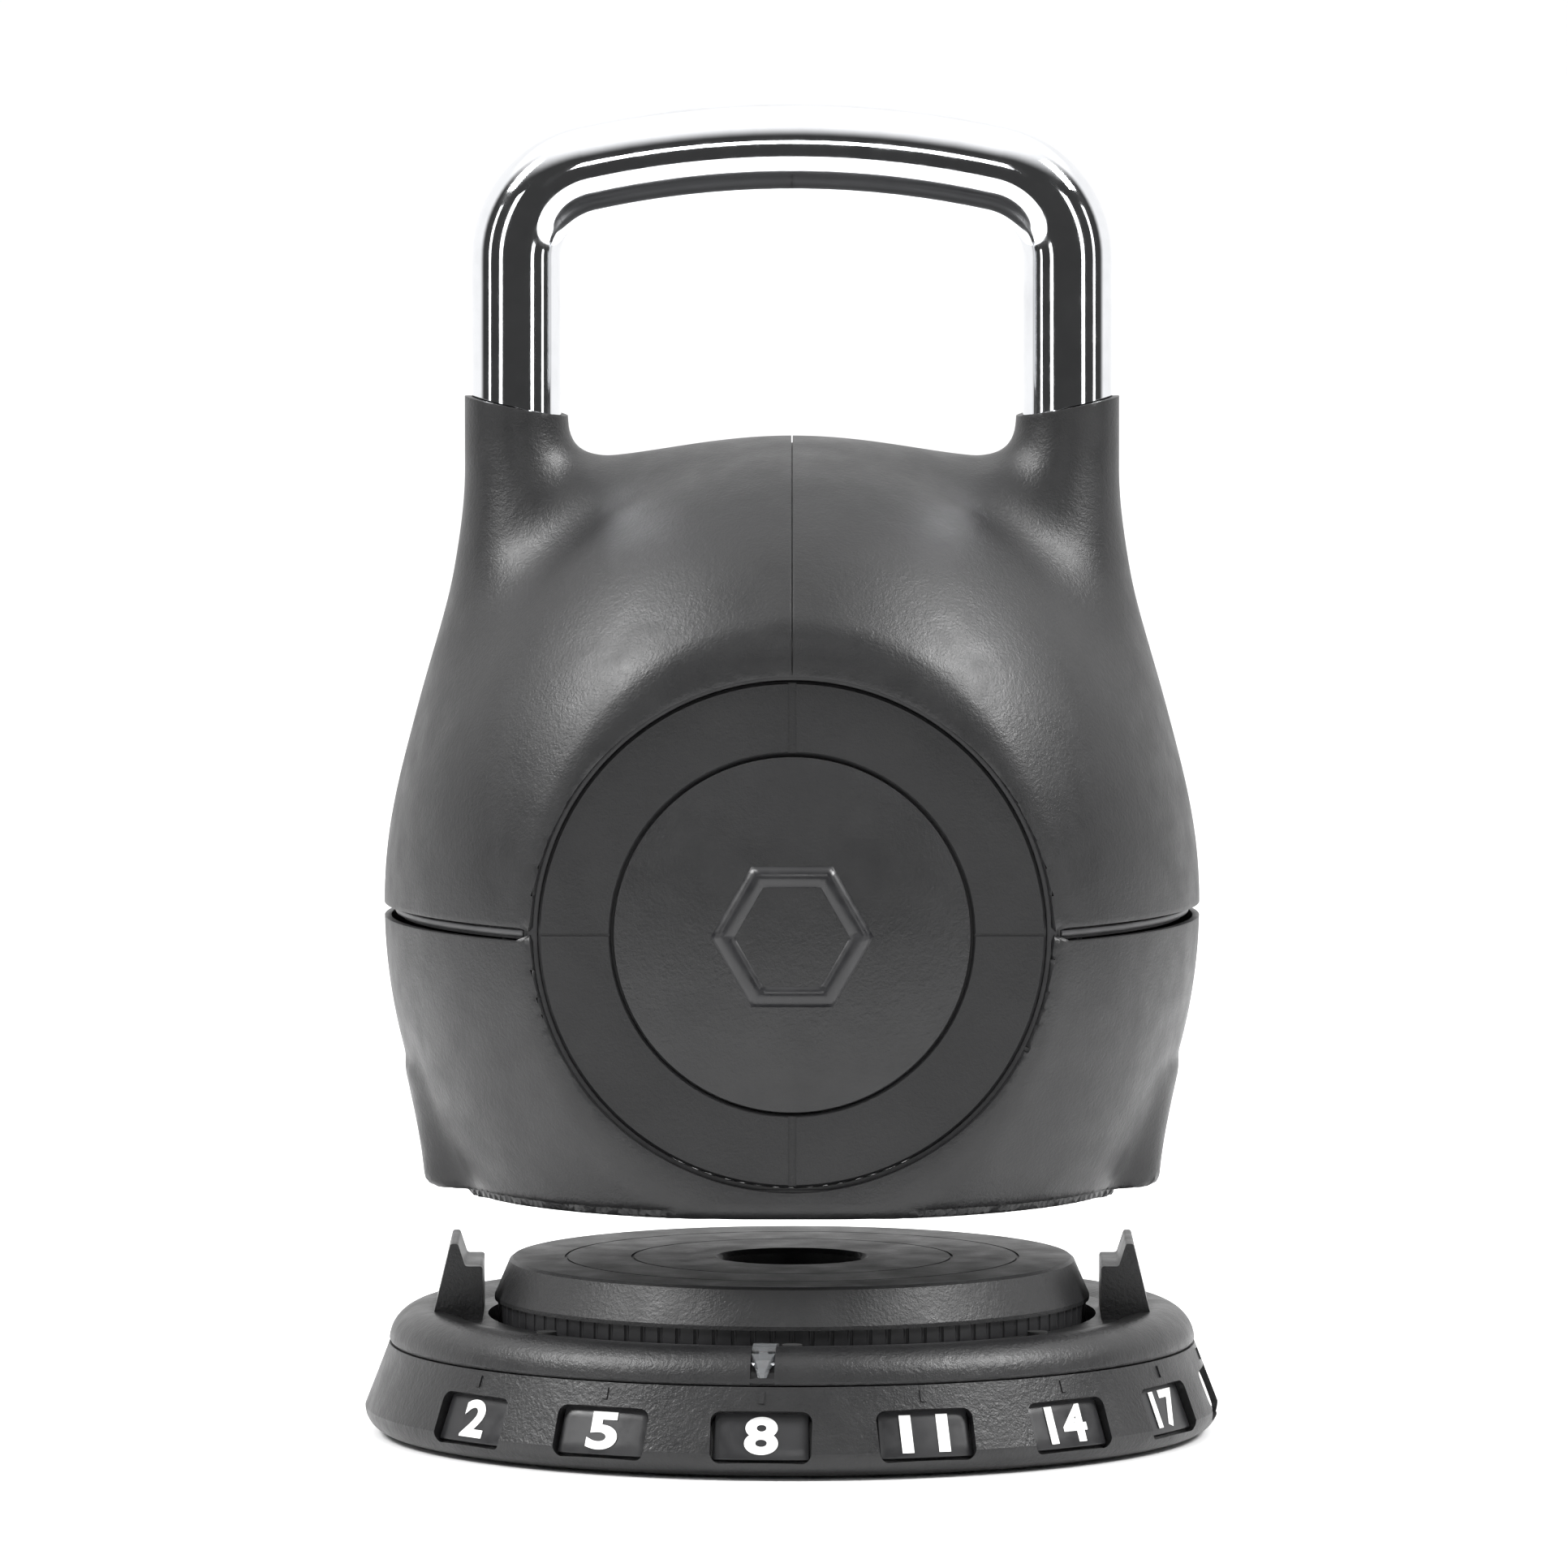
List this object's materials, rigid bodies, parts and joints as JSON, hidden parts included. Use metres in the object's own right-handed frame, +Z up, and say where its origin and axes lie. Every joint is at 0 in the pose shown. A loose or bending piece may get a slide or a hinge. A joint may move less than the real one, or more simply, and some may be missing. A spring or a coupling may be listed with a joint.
{
  "type": "adjustable kettlebell with selector base",
  "caption": "Adjustable kettlebell with a chrome arched handle, lifted just above its round base, where turning it picks the weight.",
  "frame": {"origin": "middle of the base's underside, on the surface it stands on", "axes": "+Z up; -Y is the front, with the pointer and the front badge; the handle runs along X"},
  "size_m": [0.2569, 0.2569, 0.3995],
  "materials": {
    "black_plastic": "satin",
    "smooth_plastic": "satin",
    "grey_plastic": "satin",
    "rubber": "matte",
    "chrome": "polished",
    "clear_plastic": "gloss",
    "red_paint": "satin",
    "plate_iron": "satin",
    "bronze": "satin",
    "steel": "satin"
  },
  "bodies": {
    "base": {"base_tray": "black_plastic", "rubber_feet": "rubber", "tray_screws": "steel", "number_ring": "black_plastic", "number_band": "smooth_plastic", "plate_seat": "black_plastic", "detent_ring": "smooth_plastic", "drive_key": "steel"},
    "collar": {"turning_collar": "black_plastic", "collar_retainer": "black_plastic", "retainer_screws": "steel", "pointer_window": "clear_plastic", "pointer_mark": "red_paint", "seat_pads": "rubber", "click_spring": "steel", "click_plug": "steel"},
    "click_plunger": {"click_plunger": "steel"},
    "kettlebell": {"handle_grip": "chrome", "handle_plugs": "steel", "handle_bolts": "steel", "core_plate": "plate_iron", "core_screws": "steel", "upper_shell_left": "black_plastic", "upper_shell_right": "black_plastic", "equator_band_left": "grey_plastic", "equator_band_right": "grey_plastic", "lower_shell": "black_plastic", "rim_insert": "black_plastic", "shell_screws": "steel", "front_ring": "black_plastic", "front_badge": "black_plastic", "back_ring": "black_plastic", "back_badge": "black_plastic", "ring_screws": "steel", "guide_rods": "steel", "spindle_bush": "bronze", "lock_housing_left": "black_plastic", "lock_housing_right": "black_plastic", "lock_spring_left": "steel", "lock_spring_right": "steel", "weight_plate_1": "plate_iron", "weight_plate_2": "plate_iron", "weight_plate_3": "plate_iron", "weight_plate_4": "plate_iron", "weight_plate_5": "plate_iron", "weight_plate_6": "plate_iron"},
    "spindle": {"selector_spindle": "steel", "spindle_clip": "steel"},
    "lock_pin_left": {"lock_pin_left": "steel"},
    "lock_pin_right": {"lock_pin_right": "steel"}
  },
  "joints": [
    {"name": "collar_turn", "type": "hinge", "parent": "base", "child": "collar", "pos_m": [0, 0, 0.03], "axis": [0, 0, 1], "range_deg": [-45, 90]},
    {"name": "kettlebell_lift", "type": "slide", "parent": "collar", "child": "kettlebell", "axis": [0, 0, 1], "range_m": [-0.0384, 0.15]},
    {"name": "spindle_turn", "type": "hinge", "parent": "kettlebell", "child": "spindle", "pos_m": [0, 0, 0.1754], "axis": [0, 0, 1], "range_deg": [-90, 45]},
    {"name": "lock_pin_left_press", "type": "slide", "parent": "kettlebell", "child": "lock_pin_left", "axis": [0, 0, 1], "range_m": [0, 0.005], "stiffness_N_per_m": 600, "springref_m": -0.004, "deforming": ["lock_spring_left"]},
    {"name": "lock_pin_right_press", "type": "slide", "parent": "kettlebell", "child": "lock_pin_right", "axis": [0, 0, 1], "range_m": [0, 0.005], "stiffness_N_per_m": 600, "springref_m": -0.004, "deforming": ["lock_spring_right"]},
    {"name": "click_plunger_press", "type": "slide", "parent": "collar", "child": "click_plunger", "axis": [0, 1, 0], "range_m": [0, 0.0012], "stiffness_N_per_m": 400, "springref_m": -0.004}
  ],
  "couplings": [
    {"joint": "spindle_turn", "follows": "collar_turn", "ratio": -1}
  ]
}
